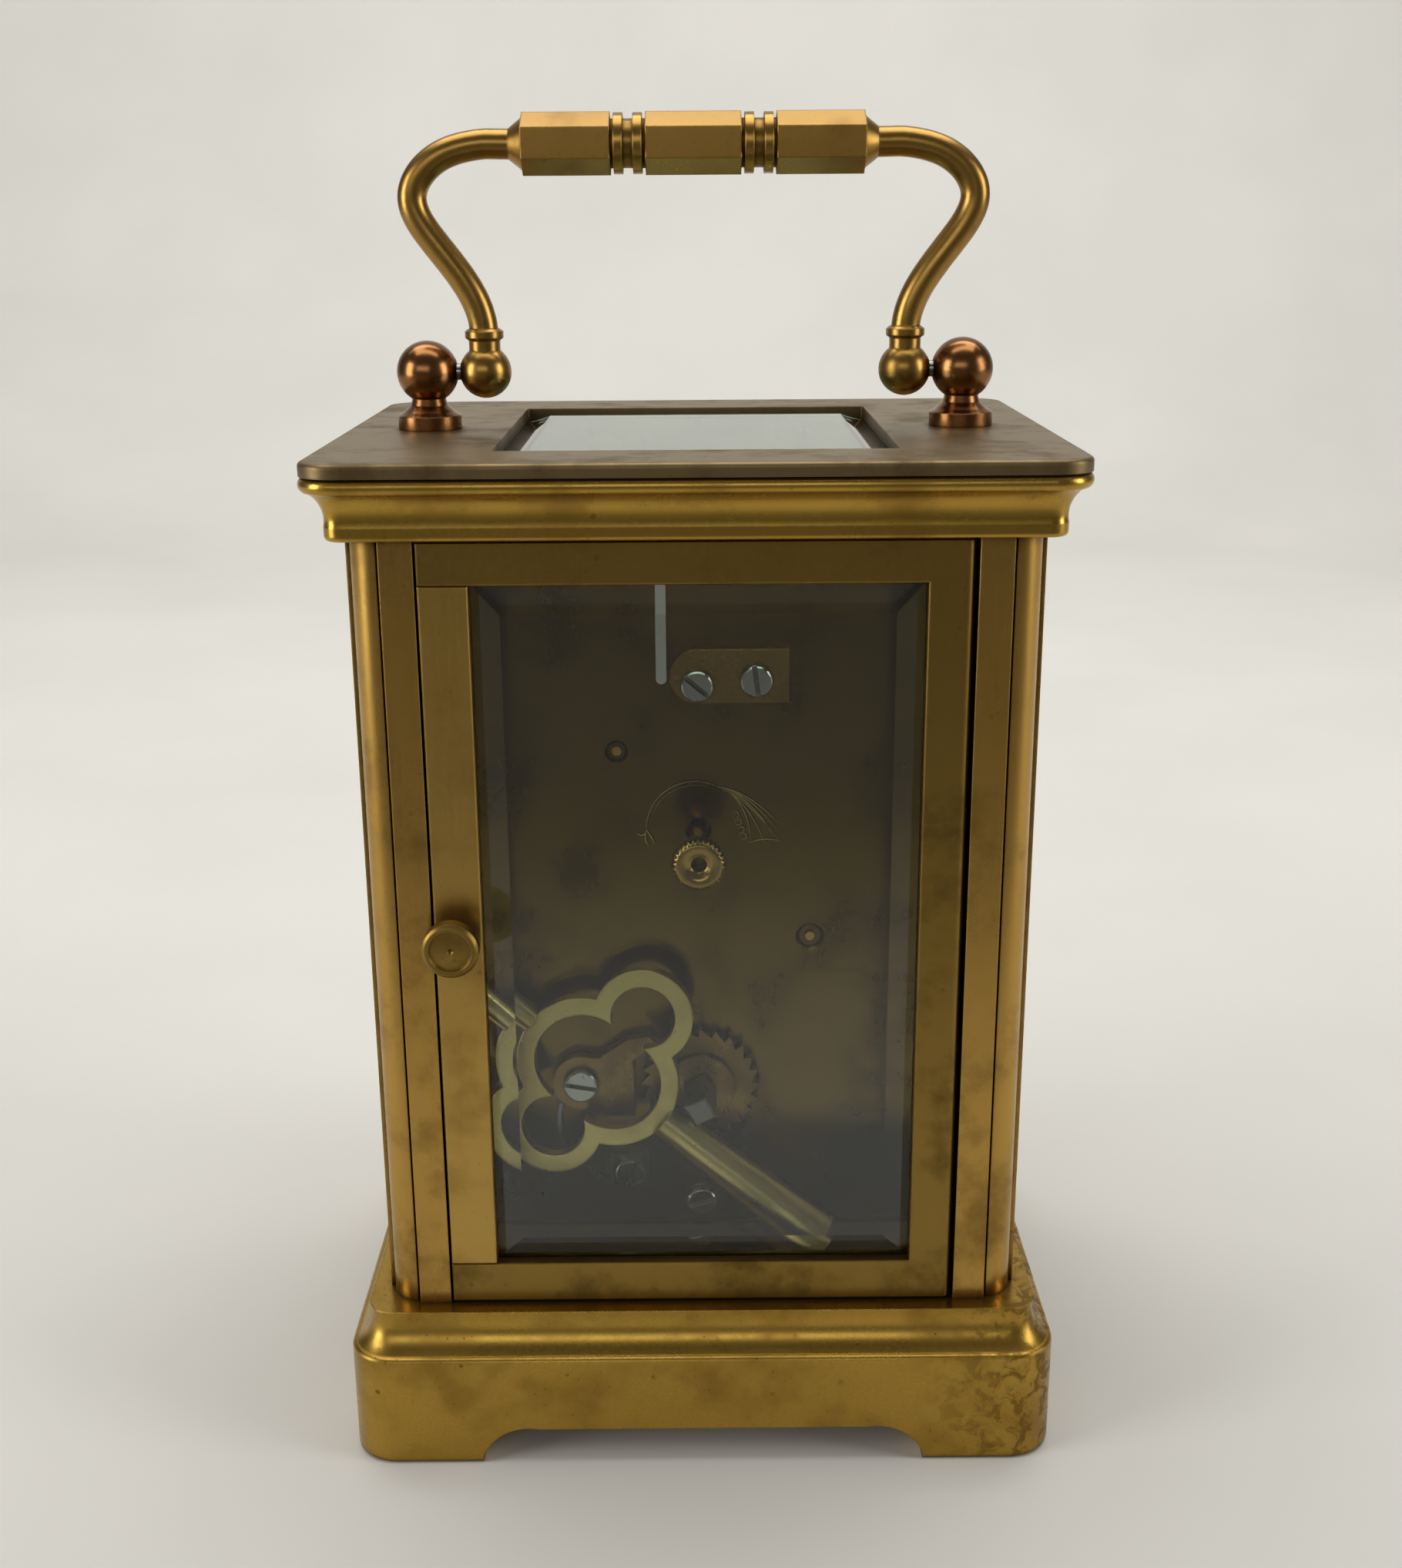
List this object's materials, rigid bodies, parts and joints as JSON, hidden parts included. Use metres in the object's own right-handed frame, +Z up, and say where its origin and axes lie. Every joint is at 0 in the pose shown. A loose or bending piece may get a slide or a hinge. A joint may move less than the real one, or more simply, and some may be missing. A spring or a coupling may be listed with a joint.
{
  "type": "carriage clock",
  "caption": "Brass carriage clock with bevelled glasses, a hinged rear door, a folding handle, a wind-up movement with platform escapement and a double-ended key.",
  "frame": {"origin": "bottom centre of the case, on the plane its feet stand on", "axes": "+Z up, +Y towards the rear door, -Y towards the dial, +X to the right as seen from the dial side"},
  "size_m": [0.08, 0.0662, 0.1467],
  "materials": {
    "case_brass": "lacquered cast brass, worn yellow-gold with dark spots",
    "top_brass": "dull greyish-brown brass sheet",
    "pillar_brass": "brass with brown tarnish in the grooves",
    "door_brass": "olive-brown tarnished brass",
    "stile_brass": "lighter polished brass",
    "post_bronze": "reddish brown polished bronze",
    "handle_brass": "handled brass, warm and slightly dull",
    "plate_brass": "dark olive-brown semi-polished brass plate",
    "wheel_brass": "cut and polished wheel brass",
    "key_brass": "pale yellow nickel-brass, satin",
    "steel": "polished steel",
    "spring_steel": "tempered spring steel",
    "blued_steel": "blued steel",
    "enamel": "white fired enamel on copper",
    "clear_glass": "clear bevelled plate glass"
  },
  "bodies": {
    "case": {"base_moulding": "case_brass", "floor_plate": "plate_brass", "cornice_moulding": "case_brass", "top_plate": "top_brass", "top_glass": "clear_glass", "pillar_rear_right": "pillar_brass", "pillar_rear_left": "pillar_brass", "pillar_front_right": "pillar_brass", "pillar_front_left": "pillar_brass", "side_glasses": "clear_glass", "front_glass": "clear_glass", "case_screws": "steel", "handle_posts": "post_bronze", "handle_post_nuts": "post_bronze", "handle_pivot_pins": "steel", "back_plate": "plate_brass", "front_plate": "plate_brass", "movement_pillars": "wheel_brass", "front_plate_screws": "steel", "movement_seat_screws": "steel", "contrate_end_plate": "wheel_brass", "click_screw": "steel", "click_spring": "spring_steel", "back_plate_screws": "steel", "dial": "enamel", "platform_plate": "wheel_brass", "platform_screws": "steel", "escapement_bridge": "wheel_brass", "balance_cock": "wheel_brass"},
    "door": {"door_frame": "door_brass", "door_closing_stile": "stile_brass", "door_glass": "clear_glass", "door_knob": "door_brass", "door_hinge_pins": "steel"},
    "handle": {"handle_bail": "handle_brass"},
    "key": {"key_bow": "key_brass", "key_winding_pipe": "key_brass", "key_setting_pipe": "key_brass"},
    "winding": {"winding_arbor": "steel", "ratchet_wheel": "steel"},
    "click_piece": {"click": "steel"},
    "barrel": {"mainspring_barrel": "wheel_brass", "barrel_cover": "wheel_brass", "mainspring": "spring_steel"},
    "intermediate": {"intermediate_wheel": "wheel_brass"},
    "centre": {"centre_wheel": "wheel_brass", "cannon_pinion": "steel", "hand_setting_knob": "wheel_brass", "minute_hand": "blued_steel", "hand_nut": "wheel_brass"},
    "third": {"third_wheel": "wheel_brass"},
    "contrate": {"contrate_wheel": "wheel_brass"},
    "escape": {"escape_wheel": "steel"},
    "minute_work": {"minute_wheel": "wheel_brass"},
    "hour_work": {"hour_wheel": "wheel_brass", "hour_hand": "blued_steel"},
    "lever": {"pallet_lever": "steel"},
    "balance": {"balance_wheel": "wheel_brass", "hairspring": "blued_steel"},
    "index": {"regulator_index": "steel"}
  },
  "joints": [
    {"name": "door_hinge", "type": "hinge", "parent": "case", "child": "door", "pos_m": [-0.02705, 0.0278, 0.06165], "axis": [0, 0, 1], "range_deg": [0, 95]},
    {"name": "handle_swing", "type": "hinge", "parent": "case", "child": "handle", "pos_m": [0, 0, 0.1193], "axis": [1, 0, 0], "range_deg": [-95, 95]},
    {"name": "key_lean", "type": "hinge", "parent": "case", "child": "key", "pos_m": [-0.0137, 0.0185, 0.0184], "axis": [-1, 0, 0], "range_deg": [0, 12]},
    {"name": "winding_spin", "type": "hinge", "parent": "case", "child": "winding", "pos_m": [0, 0, 0.0374], "axis": [0, -1, 0], "range_deg": [0, 1440]},
    {"name": "click_pivot", "type": "hinge", "parent": "case", "child": "click_piece", "pos_m": [0.0141, 0.0117, 0.0377], "axis": [0, 1, 0], "range_deg": [0, 10], "stiffness_Nm_per_rad": 0.001, "springref_deg": -5.73},
    {"name": "centre_spin", "type": "hinge", "parent": "case", "child": "centre", "pos_m": [0, 0, 0.0686], "axis": [0, 1, 0], "continuous": true},
    {"name": "intermediate_spin", "type": "hinge", "parent": "case", "child": "intermediate", "pos_m": [-0.0129, 0, 0.0554], "axis": [0, 1, 0], "continuous": true},
    {"name": "barrel_spin", "type": "hinge", "parent": "case", "child": "barrel", "pos_m": [0, 0, 0.0374], "axis": [0, 1, 0], "continuous": true},
    {"name": "third_spin", "type": "hinge", "parent": "case", "child": "third", "pos_m": [0.0092, 0, 0.078], "axis": [0, 1, 0], "continuous": true},
    {"name": "contrate_spin", "type": "hinge", "parent": "case", "child": "contrate", "pos_m": [-0.0008, 0, 0.087], "axis": [0, 1, 0], "continuous": true},
    {"name": "escape_spin", "type": "hinge", "parent": "case", "child": "escape", "pos_m": [-0.0008, -0.0014, 0.0975], "axis": [0, 0, 1], "continuous": true},
    {"name": "minute_work_spin", "type": "hinge", "parent": "case", "child": "minute_work", "pos_m": [-0.00594, 0, 0.06266], "axis": [0, 1, 0], "continuous": true},
    {"name": "hour_work_spin", "type": "hinge", "parent": "case", "child": "hour_work", "pos_m": [0, 0, 0.0686], "axis": [0, 1, 0], "continuous": true},
    {"name": "lever_swing", "type": "hinge", "parent": "case", "child": "lever", "pos_m": [0.00182, -0.00554, 0.101], "axis": [0, 0, 1], "range_deg": [-4, 4]},
    {"name": "balance_swing", "type": "hinge", "parent": "case", "child": "balance", "pos_m": [0.004, -0.009, 0.103], "axis": [0, 0, 1], "range_deg": [-140, 140], "stiffness_Nm_per_rad": 0.0000012},
    {"name": "index_swing", "type": "hinge", "parent": "case", "child": "index", "pos_m": [0.004, -0.009, 0.1065], "axis": [0, 0, 1], "range_deg": [-6, 3]}
  ],
  "couplings": [
    {"joint": "intermediate_spin", "follows": "centre_spin", "ratio": -0.16667},
    {"joint": "barrel_spin", "follows": "centre_spin", "ratio": 0.041667},
    {"joint": "third_spin", "follows": "centre_spin", "ratio": -6},
    {"joint": "contrate_spin", "follows": "centre_spin", "ratio": 36},
    {"joint": "escape_spin", "follows": "centre_spin", "ratio": -216},
    {"joint": "minute_work_spin", "follows": "centre_spin", "ratio": -0.33333},
    {"joint": "hour_work_spin", "follows": "centre_spin", "ratio": 0.083333}
  ]
}
